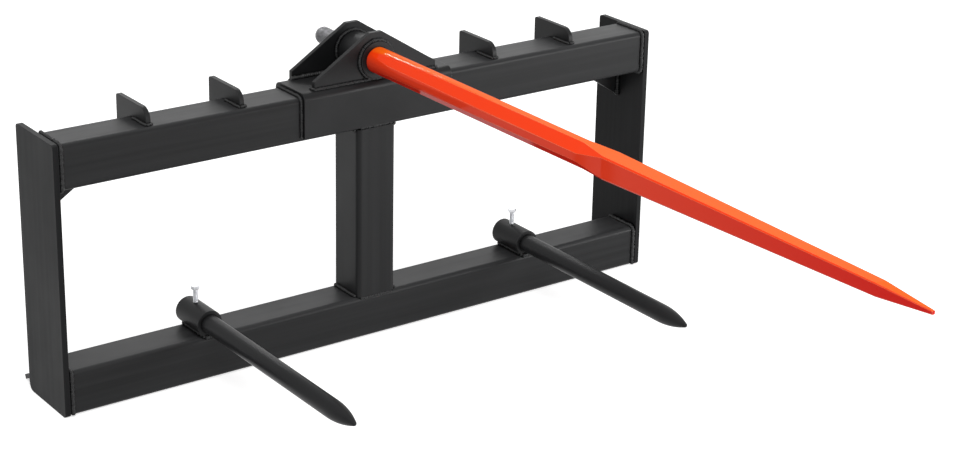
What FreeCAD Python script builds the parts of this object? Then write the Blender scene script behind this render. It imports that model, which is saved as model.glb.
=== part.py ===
import FreeCAD, Part
import os
import Sketcher

# Bale spear for a skid-steer quick-attach loader: a welded frame of square tube, one long
# forged spear on top of it and two short round stabilizers on its bottom tube.
#
# Frame of the part: the origin is on the flat rear face of the frame, on the centre post, half
# way up. +X is to the right seen from the front, +Y points back into the loader, +Z is up, and
# the spears point towards -Y. Lengths are in millimetres and angles in degrees.

SIZES = {
    # square tubes
    "tube_size": 76.2,
    "tube_wall": 4.8,
    "tube_corner": 8.0,
    "frame_width": 1181.0,
    "frame_height": 457.2,
    # end plates
    "end_plate_thickness": 9.5,
    "end_plate_front_lip": 2.6,
    "end_plate_top_lip": 2.0,
    "end_plate_rear_reach": 53.0,
    "end_plate_corner": 6.0,
    "end_plate_heel": 14.0,
    # corner gussets
    "gusset_width": 95.0,
    "gusset_drop": 62.0,
    "gusset_thickness": 8.0,
    # hook lip for the top edge of the loader's plate
    "lip_thickness": 8.0,
    "lip_length": 64.0,
    "lip_angle": 45.0,
    "lip_drop": 2.0,
    # lower flange with the two wedge slots
    "flange_thickness": 8.0,
    "flange_length": 102.0,
    "flange_angle": 25.0,
    "flange_rise": 51.5,
    "slot_from_plate": 73.0,
    "slot_width": 64.0,
    "slot_depth": 30.0,
    "slot_corner": 5.0,
    "slot_from_root": 20.0,
    # ribs over the top tube
    "rib_thickness": 8.0,
    "rib_from_plate": 161.0,
    "rib_pitch": 168.0,
    "rib_rise": 27.0,
    "rib_setback": 12.0,
    "rib_front_corner": 20.0,
    "rib_rear_corner": 5.0,
    "rib_rear_inset": 8.0,
    "rib_clearance": 0.3,
    # bent saddle plate over the top tube
    "saddle_width": 293.0,
    "saddle_thickness": 8.0,
    "saddle_bend": 12.0,
    "saddle_foot_gap": 7.0,
    "saddle_rear_drop": 9.0,
    # plates that carry the spear sleeve
    "spear_plate_width": 240.0,
    "spear_plate_thickness": 8.0,
    "spear_plate_side": 13.0,
    "spear_plate_apex": 24.0,
    "spear_plate_height": 81.0,
    "spear_plate_setback": 4.0,
    # tapered sleeve
    "sleeve_diameter": 63.5,
    "sleeve_length": 94.0,
    "sleeve_nose": 2.0,
    "spear_axis_rise": 34.2,
    "sleeve_clearance": 0.3,
    # forged spear
    "spear_reach": 1247.0,
    "shank_diameter": 44.5,
    "cone_end_diameter": 36.0,
    "cone_end_gap": 4.0,
    "fit_clearance": 0.3,
    "root_flats": 45.0,
    "root_chamfer": 13.2,
    "shoulder_distance": 60.0,
    "shoulder_flats": 44.4,
    "shoulder_chamfer": 15.4,
    "waist_distance": 558.0,
    "waist_flats": 41.5,
    "waist_chamfer": 14.5,
    "square_blend": 56.0,
    "square_flats": 36.2,
    "square_chamfer": 2.6,
    "point_length": 91.0,
    "point_flats": 19.2,
    "point_chamfer": 1.5,
    "tip_flats": 5.5,
    "tip_chamfer": 1.0,
    "flare_diameter": 54.0,
    # threaded tail with its washer and nut
    "tail_diameter": 28.0,
    "tail_stickout": 52.0,
    "tail_chamfer": 2.5,
    "washer_diameter": 56.0,
    "washer_thickness": 4.0,
    "nut_flats": 42.0,
    "nut_height": 28.0,
    "nut_chamfer": 3.0,
    # stabilizers and their collars
    "stabilizer_spacing": 652.0,
    "stabilizer_diameter": 31.75,
    "stabilizer_reach": 440.0,
    "ogive_length": 65.0,
    "nose_radius": 4.0,
    "collar_diameter": 45.0,
    "collar_length": 75.0,
    "collar_setback": 1.0,
    "collar_seat": 0.2,
    # set bolts
    "bolt_diameter": 8.0,
    "bolt_from_front": 48.0,
    "bolt_stand": 29.0,
    "bolt_head_flats": 13.0,
    "bolt_head_height": 5.5,
}

LEFT = -1
RIGHT = 1
SIDES = {"left": LEFT, "right": RIGHT}
ROUND = 360.0

# Lines and levels that several pieces share, as expressions over the sheet.
TOP = "(Sizes.frame_height / 2)"
BOTTOM = "(0 - Sizes.frame_height / 2)"
TOP_UNDERSIDE = "(Sizes.frame_height / 2 - Sizes.tube_size)"
BOTTOM_UPPER = "(Sizes.tube_size - Sizes.frame_height / 2)"
FRONT = "(0 - Sizes.tube_size)"
PLATE_INNER = "(Sizes.frame_width / 2 - Sizes.end_plate_thickness)"
SPAN = "(Sizes.frame_width - 2 * Sizes.end_plate_thickness)"
SADDLE_TOP = "(Sizes.frame_height / 2 + Sizes.saddle_thickness)"
REAR_PLATE_FRONT = "(Sizes.saddle_thickness - Sizes.spear_plate_thickness)"
REAR_PLATE_DROP = "(Sizes.saddle_bend - sqrt(%s))" % (
    "Sizes.saddle_bend ^ 2 - (Sizes.saddle_bend - Sizes.spear_plate_thickness) ^ 2")
SPEAR_AXIS = "(%s + Sizes.spear_axis_rise)" % SADDLE_TOP
SLEEVE_FRONT = "(0 - Sizes.tube_size - Sizes.sleeve_nose)"
SLEEVE_REAR = "(Sizes.sleeve_length - Sizes.tube_size - Sizes.sleeve_nose)"
OUTER_RIB = "(%s - Sizes.rib_from_plate)" % PLATE_INNER
INNER_RIB = "(%s - Sizes.rib_pitch)" % OUTER_RIB
LIP_TOP = "(Sizes.frame_height / 2 - Sizes.tube_corner - Sizes.lip_drop)"
FLANGE_TOP = "(Sizes.flange_rise - Sizes.frame_height / 2)"
COLLAR_AXIS = "(%s + Sizes.collar_diameter / 2 + Sizes.collar_seat)" % BOTTOM_UPPER
COLLAR_FRONT = "(Sizes.collar_setback - Sizes.tube_size)"
WASHER_REAR = "(Sizes.sleeve_length + Sizes.washer_thickness)"
NUT_REAR = "(%s + Sizes.nut_height)" % WASHER_REAR
TAIL_END = "(%s + Sizes.tail_stickout)" % NUT_REAR
BOLT_SEAT = "(Sizes.stabilizer_diameter / 2 + Sizes.fit_clearance)"

DOC = FreeCAD.newDocument("BaleSpear")


def make_sheet():
    """Put every driving size into the spreadsheet as a plain number with an alias."""
    sheet = DOC.addObject("Spreadsheet::Sheet", "Sizes")
    for row, (name, size) in enumerate(SIZES.items(), start=1):
        sheet.set("A%d" % row, name.replace("_", " "))
        sheet.set("B%d" % row, str(size))
        sheet.setAlias("B%d" % row, name)
    DOC.recompute()
    return sheet


SHEET = make_sheet()


def value(text):
    """Return what an expression over the sheet is worth now."""
    return float(SHEET.evalExpression(text))


def new_body(label, x="0", y="0", z="0"):
    """Start a body whose place is bound to the sheet."""
    body = DOC.addObject("PartDesign::Body", label)
    body.Label = label
    for axis, text in (("x", x), ("y", y), ("z", z)):
        body.setExpression("Placement.Base." + axis, text)
    return body


def tilt_body(body, angle):
    """Turn a body about X so that its local Y axis slopes down to the rear."""
    place = body.Placement
    place.Rotation = FreeCAD.Rotation(FreeCAD.Vector(-1, 0, 0), value(angle))
    body.Placement = place
    body.setExpression("Placement.Rotation.Angle", angle)


def new_sketch(body, name, role, offset=None):
    """Attach a sketch to one of the body's own origin planes."""
    plane = [item for item in body.Origin.OriginFeatures if item.Role == role][0]
    sketch = body.newObject("Sketcher::SketchObject", name)
    sketch.AttachmentSupport = [(plane, "")]
    sketch.MapMode = "FlatFace"
    if offset is not None:
        sketch.setExpression("AttachmentOffset.Base.z", offset)
    return sketch


def dimension(sketch, kind, references, text):
    """Add a dimension whose value follows the sheet."""
    number = sketch.addConstraint(Sketcher.Constraint(kind, *references, value(text)))
    sketch.setExpression("Constraints[%d]" % number, text)


def locate(sketch, geometry, point, x, y):
    """Dimension a point of a sketch from the sketch's origin."""
    dimension(sketch, "DistanceX", (-1, 1, geometry, point), x)
    dimension(sketch, "DistanceY", (-1, 1, geometry, point), y)


def add_polygon(sketch, corners):
    """Draw a closed outline through corners given as pairs of expressions."""
    count = len(corners)
    first = sketch.GeometryCount
    points = [FreeCAD.Vector(value(x), value(y), 0) for x, y in corners]
    for index in range(count):
        line = Part.LineSegment(points[index], points[(index + 1) % count])
        sketch.addGeometry(line, False)
    for index in range(count):
        following = first + (index + 1) % count
        joint = Sketcher.Constraint("Coincident", first + index, 2, following, 1)
        sketch.addConstraint(joint)
    for index, (x, y) in enumerate(corners):
        locate(sketch, first + index, 1, x, y)


def add_circle(sketch, diameter, x="0", y="0"):
    """Draw a circle with its centre and diameter bound to the sheet."""
    centre = FreeCAD.Vector(value(x), value(y), 0)
    circle = Part.Circle(centre, FreeCAD.Vector(0, 0, 1), value(diameter) / 2)
    index = sketch.addGeometry(circle, False)
    locate(sketch, index, 3, x, y)
    dimension(sketch, "Diameter", (index,), diameter)


def add_octagon(sketch, flats, chamfer):
    """Draw a square across flats whose four corners are cut by equal chamfers."""
    far = "(%s / 2)" % flats
    near = "(%s / 2 - %s)" % (flats, chamfer)
    signs = ((1, 1), (-1, 1), (-1, -1), (1, -1))
    corners = []
    for turn, (side, level) in enumerate(signs):
        upright = ("%d * %s" % (side, far), "%d * %s" % (level, near))
        lying = ("%d * %s" % (side, near), "%d * %s" % (level, far))
        corners += [upright, lying] if turn % 2 == 0 else [lying, upright]
    add_polygon(sketch, corners)


def add_hexagon(sketch, flats):
    """Draw a hexagon round the sketch's origin, two of its flats level."""
    half = "(%s / (2 * sqrt(3)))" % flats
    tip = "(%s / sqrt(3))" % flats
    rise = "(%s / 2)" % flats
    corners = [(tip, "0"), (half, rise), ("0 - " + half, rise)]
    corners += [("0 - " + tip, "0"), ("0 - " + half, "0 - " + rise), (half, "0 - " + rise)]
    add_polygon(sketch, corners)


def add_rounded_square(sketch, width, depth, radius, x="0", y="0"):
    """Draw a rectangle with rounded corners about a centre."""
    half = "(%s / 2)" % width
    rise = "(%s / 2)" % depth
    wide, deep, corner = value(half), value(rise), value(radius)
    middle = FreeCAD.Vector(value(x), value(y), 0)
    quarter = value("pi / 2")
    first = sketch.GeometryCount
    turns = ((1, -1), (1, 1), (-1, 1), (-1, -1))
    ends = (
        ((-wide + corner, -deep), (wide - corner, -deep)),
        ((wide, -deep + corner), (wide, deep - corner)),
        ((wide - corner, deep), (-wide + corner, deep)),
        ((-wide, deep - corner), (-wide, -deep + corner)),
    )
    for start, stop in ends:
        begin = FreeCAD.Vector(start[0], start[1], 0) + middle
        finish = FreeCAD.Vector(stop[0], stop[1], 0) + middle
        sketch.addGeometry(Part.LineSegment(begin, finish), False)
    for index, (side, level) in enumerate(turns):
        centre = FreeCAD.Vector(side * (wide - corner), level * (deep - corner), 0) + middle
        circle = Part.Circle(centre, FreeCAD.Vector(0, 0, 1), corner)
        start = quarter * (index - 1)
        sketch.addGeometry(Part.ArcOfCircle(circle, start, start + quarter), False)
    lines = range(first, first + 4)
    arcs = range(first + 4, first + 8)
    for index in range(4):
        arc = arcs[index]
        sketch.addConstraint(Sketcher.Constraint("Tangent", lines[index], 2, arc, 1))
        following = lines[(index + 1) % 4]
        sketch.addConstraint(Sketcher.Constraint("Tangent", arc, 2, following, 1))
    for index in (0, 2):
        sketch.addConstraint(Sketcher.Constraint("Horizontal", lines[index]))
        sketch.addConstraint(Sketcher.Constraint("Vertical", lines[index + 1]))
    for index in (1, 2, 3):
        sketch.addConstraint(Sketcher.Constraint("Equal", arcs[0], arcs[index]))
    dimension(sketch, "Radius", (arcs[0],), radius)
    dimension(sketch, "DistanceY", (-1, 1, lines[0], 1), "%s - %s" % (y, rise))
    dimension(sketch, "DistanceX", (-1, 1, lines[1], 1), "%s + %s" % (x, half))
    dimension(sketch, "DistanceY", (-1, 1, lines[2], 1), "%s + %s" % (y, rise))
    dimension(sketch, "DistanceX", (-1, 1, lines[3], 1), "%s - %s" % (x, half))


def pad(body, sketch, length, side="One side", reverse=False):
    """Pad a sketch by a length from the sheet."""
    feature = body.newObject("PartDesign::Pad", sketch.Name + "Pad")
    feature.Profile = sketch
    feature.SideType = side
    feature.Reversed = reverse
    feature.setExpression("Length", length)
    return feature


def must_cut(feature, before):
    """Stop if a cut took nothing from the solid."""
    DOC.recompute()
    if not feature.Shape.Volume < before:
        raise RuntimeError(feature.Name + " cuts nothing")


def pocket(body, sketch, length, side="One side", reverse=False):
    """Cut a sketch out of the body by a length from the sheet."""
    DOC.recompute()
    before = body.Shape.Volume
    feature = body.newObject("PartDesign::Pocket", sketch.Name + "Pocket")
    feature.Profile = sketch
    feature.SideType = side
    feature.Reversed = reverse
    feature.setExpression("Length", length)
    must_cut(feature, before)
    return feature


def revolve(body, sketch):
    """Revolve a sketch about its own horizontal axis."""
    feature = body.newObject("PartDesign::Revolution", sketch.Name + "Revolution")
    feature.Profile = sketch
    feature.ReferenceAxis = (sketch, ["H_Axis"])
    feature.Angle = ROUND
    return feature


def groove(body, sketch):
    """Cut a sketch turned about its own horizontal axis out of the body."""
    DOC.recompute()
    before = body.Shape.Volume
    feature = body.newObject("PartDesign::Groove", sketch.Name + "Groove")
    feature.Profile = sketch
    feature.ReferenceAxis = (sketch, ["H_Axis"])
    feature.Angle = ROUND
    must_cut(feature, before)
    return feature


def round_corner(body, name, radius, y, z):
    """Round the edge that runs along X through one point of a side profile."""
    DOC.recompute()
    base = body.Tip
    here = (value(y), value(z))
    names = []
    for index, edge in enumerate(base.Shape.Edges, start=1):
        box = edge.BoundBox
        flat = max(box.YLength, box.ZLength)
        off = max(abs(box.Center.y - here[0]), abs(box.Center.z - here[1]))
        if max(flat, off) < FreeCAD.Base.Precision.confusion() * 100:
            names.append("Edge%d" % index)
    feature = body.newObject("PartDesign::Fillet", name)
    feature.Base = (base, names)
    feature.setExpression("Radius", radius)
    return feature


def side_profile(body, name, corners, width):
    """Pad a profile of the YZ plane equally to both sides of it."""
    sketch = new_sketch(body, name, "YZ_Plane")
    add_polygon(sketch, corners)
    return pad(body, sketch, width, "Symmetric")


def tube_section(sketch):
    """Draw the hollow section of the square tube."""
    inner = "(Sizes.tube_size - 2 * Sizes.tube_wall)"
    inner_corner = "(Sizes.tube_corner - Sizes.tube_wall)"
    add_rounded_square(sketch, "Sizes.tube_size", "Sizes.tube_size", "Sizes.tube_corner")
    add_rounded_square(sketch, inner, inner, inner_corner)


def level_tube(label, height):
    """Make a tube that runs across between the end plates."""
    body = new_body(label, y="0 - Sizes.tube_size / 2", z=height)
    sketch = new_sketch(body, "LevelSection", "YZ_Plane")
    tube_section(sketch)
    pad(body, sketch, SPAN, "Symmetric")
    return body


def centre_post():
    """Make the upright tube between the two level tubes."""
    body = new_body("centre_post", y="0 - Sizes.tube_size / 2")
    sketch = new_sketch(body, "PostSection", "XY_Plane")
    tube_section(sketch)
    pad(body, sketch, "Sizes.frame_height - 2 * Sizes.tube_size", "Symmetric")
    return body


def end_plate(name, side):
    """Make the side plate that closes both tubes and guides the loader's plate."""
    middle = "%d * (%s + Sizes.end_plate_thickness / 2)" % (side, PLATE_INNER)
    body = new_body(name + "_end_plate", x=middle)
    front = "(%s - Sizes.end_plate_front_lip)" % FRONT
    top = "(%s + Sizes.end_plate_top_lip)" % TOP
    rear = "Sizes.end_plate_rear_reach"
    corners = [(front, BOTTOM), (rear, BOTTOM), (rear, top), (front, top)]
    side_profile(body, "SidePlate", corners, "Sizes.end_plate_thickness")
    round_corner(body, "Heel", "Sizes.end_plate_heel", rear, BOTTOM)
    for title, (y, z) in zip(("Toe", "BackTop", "FrontTop"), (corners[0], *corners[2:])):
        round_corner(body, title, "Sizes.end_plate_corner", y, z)
    return body


def corner_gusset(name, side):
    """Make the triangle between the top tube's underside and an end plate."""
    corner = "%d * %s" % (side, PLATE_INNER)
    body = new_body(name + "_corner_gusset", x=corner, z=TOP_UNDERSIDE)
    sketch = new_sketch(body, "Triangle", "XZ_Plane")
    inner = "%d * Sizes.gusset_width" % -side
    add_polygon(sketch, [("0", "0"), (inner, "0"), ("0", "0 - Sizes.gusset_drop")])
    pad(body, sketch, "Sizes.gusset_thickness")
    return body


def sloping_plate(label, height, angle, length, thickness):
    """Make a plate that leans back from the rear of a tube, its front end cut upright."""
    body = new_body(label, z=height)
    tilt_body(body, angle)
    under = "0 - %s" % thickness
    start = "%s * tan(%s)" % (thickness, angle)
    corners = [("0", "0"), (length, "0"), (length, under), (start, under)]
    side_profile(body, "Slope", corners, SPAN)
    return body


def top_lip():
    """Make the hook lip that hangs over the top edge of the loader's plate."""
    return sloping_plate(
        "top_lip", LIP_TOP, "Sizes.lip_angle", "Sizes.lip_length", "Sizes.lip_thickness")


def bottom_flange():
    """Make the lower flange and cut its two wedge slots square to its face."""
    body = sloping_plate(
        "bottom_flange", FLANGE_TOP, "Sizes.flange_angle", "Sizes.flange_length",
        "Sizes.flange_thickness")
    sketch = new_sketch(body, "Slots", "XY_Plane")
    centre = "(Sizes.slot_from_root + Sizes.slot_depth / 2)"
    for side in SIDES.values():
        across = "(%d * (%s - Sizes.slot_from_plate))" % (side, PLATE_INNER)
        add_rounded_square(
            sketch, "Sizes.slot_width", "Sizes.slot_depth", "Sizes.slot_corner", across, centre)
    pocket(body, sketch, "4 * Sizes.flange_thickness", "Symmetric")
    return body


def rib(label, side, offset):
    """Make a rib that stands on the top tube and holds the hook lip from above."""
    body = new_body(label, x="%d * %s" % (side, offset))
    front = "(%s + Sizes.rib_setback)" % FRONT
    top = "(%s + Sizes.rib_rise)" % TOP
    rear = "(Sizes.lip_length * cos(Sizes.lip_angle) - Sizes.rib_rear_inset)"
    foot = "(%s - %s * tan(Sizes.lip_angle))" % (LIP_TOP, rear)
    corners = [(front, TOP), (front, top), (rear, top), (rear, foot), ("0", LIP_TOP), ("0", TOP)]
    side_profile(body, "RibSide", corners, "Sizes.rib_thickness")
    round_corner(body, "FrontBend", "Sizes.rib_front_corner", front, top)
    round_corner(body, "RearBend", "Sizes.rib_rear_corner", rear, top)
    round_corner(body, "TubeBend", "Sizes.tube_corner - Sizes.rib_clearance", "0", TOP)
    return body


def saddle():
    """Make the bent plate that caps the top tube, its long leg down the tube's front."""
    body = new_body("saddle")
    front = "(%s - Sizes.saddle_thickness)" % FRONT
    front_foot = "(%s + Sizes.saddle_foot_gap)" % TOP_UNDERSIDE
    rear = "Sizes.saddle_thickness"
    rear_foot = "(%s - Sizes.saddle_rear_drop)" % TOP
    corners = [(front, front_foot), (front, SADDLE_TOP), (rear, SADDLE_TOP), (rear, rear_foot)]
    corners += [("0", rear_foot), ("0", TOP), (FRONT, TOP), (FRONT, front_foot)]
    side_profile(body, "Bent", corners, "Sizes.saddle_width")
    inner_bend = "Sizes.saddle_bend - Sizes.saddle_thickness"
    for name, outer, inner in (("Front", front, FRONT), ("Rear", rear, "0")):
        round_corner(body, name + "OuterBend", "Sizes.saddle_bend", outer, SADDLE_TOP)
        round_corner(body, name + "InnerBend", inner_bend, inner, TOP)
    return body


def spear_plate(label, front_face, foot_drop="0"):
    """Make one of the two house-shaped plates that hold the sleeve."""
    body = new_body(label, y=front_face + " + Sizes.spear_plate_thickness", z=SADDLE_TOP)
    half = "(Sizes.spear_plate_width / 2)"
    crown = "(Sizes.spear_plate_apex / 2)"
    foot = "(0 - %s)" % foot_drop
    shoulder = "Sizes.spear_plate_side"
    peak = "Sizes.spear_plate_height"
    sketch = new_sketch(body, "House", "XZ_Plane")
    corners = [("0 - " + half, foot), (half, foot), (half, shoulder), (crown, peak)]
    corners += [("0 - " + crown, peak), ("0 - " + half, shoulder)]
    add_polygon(sketch, corners)
    bore = "Sizes.sleeve_diameter + 2 * Sizes.sleeve_clearance"
    add_circle(sketch, bore, y="Sizes.spear_axis_rise")
    pad(body, sketch, "Sizes.spear_plate_thickness")
    return body


def spear_sleeve():
    """Turn the weld-in sleeve with its tapered bore."""
    body = new_body("spear_sleeve", y=SLEEVE_FRONT, z=SPEAR_AXIS)
    sketch = new_sketch(body, "SleeveHalf", "YZ_Plane")
    outer = "(Sizes.sleeve_diameter / 2)"
    mouth = "(Sizes.shank_diameter / 2 + Sizes.fit_clearance)"
    narrow = "(Sizes.cone_end_diameter / 2 + Sizes.fit_clearance)"
    length = "Sizes.sleeve_length"
    add_polygon(sketch, [("0", mouth), (length, narrow), (length, outer), ("0", outer)])
    revolve(body, sketch)
    return body


def spear_stations():
    """List the forged sections: distance forward of the sleeve, flats and chamfer."""
    square = "(Sizes.waist_distance + Sizes.square_blend)"
    point = "(Sizes.spear_reach - Sizes.point_length)"
    return [
        ("Tail", "(0 - %s)" % TAIL_END, "root"),
        ("Root", "0", "root"),
        ("Shoulder", "Sizes.shoulder_distance", "shoulder"),
        ("Waist", "Sizes.waist_distance", "waist"),
        ("Square", square, "square"),
        ("Point", point, "point"),
        ("Tip", "Sizes.spear_reach", "tip"),
    ]


def spear_facets():
    """Loft the flats and chamfers of the forging along its whole length."""
    body = DOC.addObject("PartDesign::Body", "SpearFacets")
    sections = []
    for title, forward, kind in spear_stations():
        sketch = new_sketch(body, title + "Section", "XZ_Plane", forward)
        add_octagon(sketch, "Sizes.%s_flats" % kind, "Sizes.%s_chamfer" % kind)
        sections.append(sketch)
    loft = body.newObject("PartDesign::AdditiveLoft", "FacetLoft")
    loft.Profile = sections[0]
    loft.Sections = sections[1:]
    loft.Ruled = True
    return body


def spear_envelope():
    """Turn the round tail, the cone in the sleeve and the round shank."""
    body = DOC.addObject("PartDesign::Body", "SpearEnvelope")
    shank = "(Sizes.shank_diameter / 2)"
    cone = "(Sizes.cone_end_diameter / 2)"
    tail = "(Sizes.tail_diameter / 2)"
    flare = "(Sizes.flare_diameter / 2)"
    cone_end = "(Sizes.sleeve_length - Sizes.cone_end_gap)"
    break_start = "(%s - Sizes.tail_chamfer)" % TAIL_END
    waist = "(0 - Sizes.waist_distance)"
    square = "(0 - Sizes.waist_distance - Sizes.square_blend)"
    tip = "(0 - Sizes.spear_reach)"
    small = "(%s - Sizes.tail_chamfer)" % tail
    sketch = new_sketch(body, "EnvelopeHalf", "YZ_Plane")
    outline = [(tip, "0"), (TAIL_END, "0"), (TAIL_END, small), (break_start, tail)]
    outline += [(cone_end, tail), (cone_end, cone), ("0", shank), (waist, shank)]
    outline += [(square, flare), (tip, flare)]
    add_polygon(sketch, outline)
    revolve(body, sketch)
    return body


def main_spear():
    """Keep what the facets and the turned envelope have in common."""
    facets = spear_facets()
    envelope = spear_envelope()
    spear = DOC.addObject("Part::Common", "main_spear")
    spear.Label = "main_spear"
    spear.Base = facets
    spear.Tool = envelope
    spear.setExpression("Placement.Base.y", SLEEVE_FRONT)
    spear.setExpression("Placement.Base.z", SPEAR_AXIS)
    return spear


def spear_washer():
    """Make the washer behind the sleeve."""
    body = new_body(
        "spear_washer", y=SLEEVE_REAR + " + Sizes.washer_thickness", z=SPEAR_AXIS)
    sketch = new_sketch(body, "WasherRing", "XZ_Plane")
    add_circle(sketch, "Sizes.washer_diameter")
    add_circle(sketch, "Sizes.tail_diameter + 2 * Sizes.fit_clearance")
    pad(body, sketch, "Sizes.washer_thickness")
    return body


def spear_nut():
    """Make the hexagon nut that draws the cone into the sleeve."""
    body = new_body(
        "spear_nut", y=SLEEVE_REAR + " + Sizes.washer_thickness + Sizes.nut_height",
        z=SPEAR_AXIS)
    sketch = new_sketch(body, "NutHexagon", "XZ_Plane")
    add_hexagon(sketch, "Sizes.nut_flats")
    add_circle(sketch, "Sizes.tail_diameter + 2 * Sizes.fit_clearance")
    pad(body, sketch, "Sizes.nut_height")
    cut = new_sketch(body, "NutCorners", "YZ_Plane")
    flat = "(Sizes.nut_flats / 2)"
    clear = "(%s + 2 * Sizes.nut_chamfer)" % flat
    depth = "(2 * Sizes.nut_chamfer * tan(30))"
    front = "(0 - Sizes.nut_height)"
    add_polygon(cut, [("0", flat), ("0", clear), ("0 - " + depth, clear)])
    add_polygon(cut, [(front, flat), (front, clear), ("%s + %s" % (front, depth), clear)])
    groove(body, cut)
    return body


def collar(name, side):
    """Make the collar on the bottom tube, with the tapped hole of its set bolt."""
    across = "%d * Sizes.stabilizer_spacing / 2" % side
    rear = "%s + Sizes.collar_length" % COLLAR_FRONT
    body = new_body(name + "_collar", x=across, y=rear, z=COLLAR_AXIS)
    sketch = new_sketch(body, "CollarRing", "XZ_Plane")
    add_circle(sketch, "Sizes.collar_diameter")
    add_circle(sketch, "Sizes.stabilizer_diameter + 2 * Sizes.fit_clearance")
    pad(body, sketch, "Sizes.collar_length")
    hole = new_sketch(body, "BoltHole", "XY_Plane")
    along = "Sizes.bolt_from_front - Sizes.collar_setback - Sizes.collar_length"
    add_circle(hole, "Sizes.bolt_diameter + 2 * Sizes.fit_clearance", y=along)
    pocket(body, hole, "Sizes.collar_diameter", reverse=True)
    return body


def end_near(sketch, arc, place):
    """Return which end of an arc, 1 or 2, lies nearest to a place."""
    return min((1, 2), key=lambda end: (sketch.getPoint(arc, end) - place).Length)


def add_ogive(sketch, shoulder, tip, radius):
    """Draw the ogive from the shoulder and the small round nose that ends it."""
    nose_centre = tip + FreeCAD.Vector(radius, 0, 0)
    drop = shoulder.y - radius
    run = shoulder.x - nose_centre.x
    sweep = (run * run + drop * drop) / (2 * drop) + radius
    centre = FreeCAD.Vector(shoulder.x, shoulder.y - sweep, 0)
    meet = nose_centre + (nose_centre - centre).normalize() * radius
    bulge = centre + ((shoulder + meet) / 2 - centre).normalize() * sweep
    button = nose_centre + ((tip + meet) / 2 - nose_centre).normalize() * radius
    ogive = sketch.addGeometry(Part.Arc(shoulder, bulge, meet), False)
    nose = sketch.addGeometry(Part.Arc(meet, button, tip), False)
    return ogive, nose, meet


def stabilizer(name, side):
    """Turn a round stabilizer with its ogive point."""
    across = "%d * Sizes.stabilizer_spacing / 2" % side
    body = new_body(name + "_stabilizer", x=across, z=COLLAR_AXIS)
    sketch = new_sketch(body, "StabilizerHalf", "YZ_Plane")
    radius = "(Sizes.stabilizer_diameter / 2)"
    rear = "(%s + Sizes.collar_length)" % COLLAR_FRONT
    tip = "(%s - Sizes.stabilizer_reach)" % FRONT
    shoulder = "(%s + Sizes.ogive_length)" % tip
    corners = [(tip, "0"), (rear, "0"), (rear, radius), (shoulder, radius)]
    points = [FreeCAD.Vector(value(y), value(z), 0) for y, z in corners]
    axis, end, flank = (
        sketch.addGeometry(Part.LineSegment(start, stop), False)
        for start, stop in zip(points, points[1:]))
    ogive, nose, meet = add_ogive(sketch, points[3], points[0], value("Sizes.nose_radius"))
    joints = [
        Sketcher.Constraint("Coincident", axis, 2, end, 1),
        Sketcher.Constraint("Coincident", end, 2, flank, 1),
        Sketcher.Constraint("Horizontal", flank),
        Sketcher.Constraint("Tangent", flank, 2, ogive, end_near(sketch, ogive, points[3])),
        Sketcher.Constraint(
            "Tangent", ogive, end_near(sketch, ogive, meet), nose, end_near(sketch, nose, meet)),
        Sketcher.Constraint("Coincident", nose, end_near(sketch, nose, points[0]), axis, 1),
        Sketcher.Constraint("PointOnObject", nose, 3, -1),
    ]
    sketch.addConstraint(joints)
    for line, (y, z) in zip((axis, end, flank), corners):
        locate(sketch, line, 1, y, z)
    dimension(sketch, "DistanceX", (-1, 1, flank, 2), shoulder)
    dimension(sketch, "Radius", (nose,), "Sizes.nose_radius")
    revolve(body, sketch)
    return body


def set_bolt(name, side):
    """Make the set bolt that stands in the collar and bears on the stabilizer."""
    across = "%d * Sizes.stabilizer_spacing / 2" % side
    body = new_body(
        name + "_set_bolt", x=across, y="%s + Sizes.bolt_from_front" % FRONT,
        z="%s + %s" % (COLLAR_AXIS, BOLT_SEAT))
    shank = new_sketch(body, "BoltShank", "XY_Plane")
    add_circle(shank, "Sizes.bolt_diameter")
    stand = "(Sizes.collar_diameter / 2 + Sizes.bolt_stand - %s)" % BOLT_SEAT
    under_head = "(%s - Sizes.bolt_head_height)" % stand
    pad(body, shank, under_head)
    head = new_sketch(body, "BoltHead", "XY_Plane", under_head)
    add_hexagon(head, "Sizes.bolt_head_flats")
    pad(body, head, "Sizes.bolt_head_height")
    return body


def build():
    """Make every sub-part of the bale spear."""
    pieces = [
        level_tube("top_tube", "%s - Sizes.tube_size / 2" % TOP),
        level_tube("bottom_tube", "%s + Sizes.tube_size / 2" % BOTTOM),
        centre_post(),
        top_lip(),
        bottom_flange(),
        saddle(),
        spear_plate("front_spear_plate", "%s + Sizes.spear_plate_setback" % FRONT),
        spear_plate("rear_spear_plate", REAR_PLATE_FRONT, REAR_PLATE_DROP),
        spear_sleeve(),
        main_spear(),
        spear_washer(),
        spear_nut(),
    ]
    for name, side in SIDES.items():
        pieces.append(end_plate(name, side))
        pieces.append(corner_gusset(name, side))
        pieces.append(rib(name + "_outer_rib", side, OUTER_RIB))
        pieces.append(rib(name + "_inner_rib", side, INNER_RIB))
        pieces.append(collar(name, side))
        pieces.append(stabilizer(name, side))
        pieces.append(set_bolt(name, side))
    DOC.recompute()
    return pieces


def check(pieces):
    """Stop if any object failed or any sub-part is not one sound solid."""
    for item in DOC.Objects:
        if "Invalid" in item.State or "Error" in item.State:
            raise RuntimeError("%s failed: %s" % (item.Name, item.State))
        if item.TypeId == "Sketcher::SketchObject" and not item.FullyConstrained:
            raise RuntimeError(item.Name + " is not fully constrained")
    for piece in pieces:
        shape = piece.Shape
        if shape.isNull() or not shape.isValid():
            raise RuntimeError(piece.Label + " has no valid shape")
        if len(shape.Solids) != 1:
            raise RuntimeError(piece.Label + " is not one solid")


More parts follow.
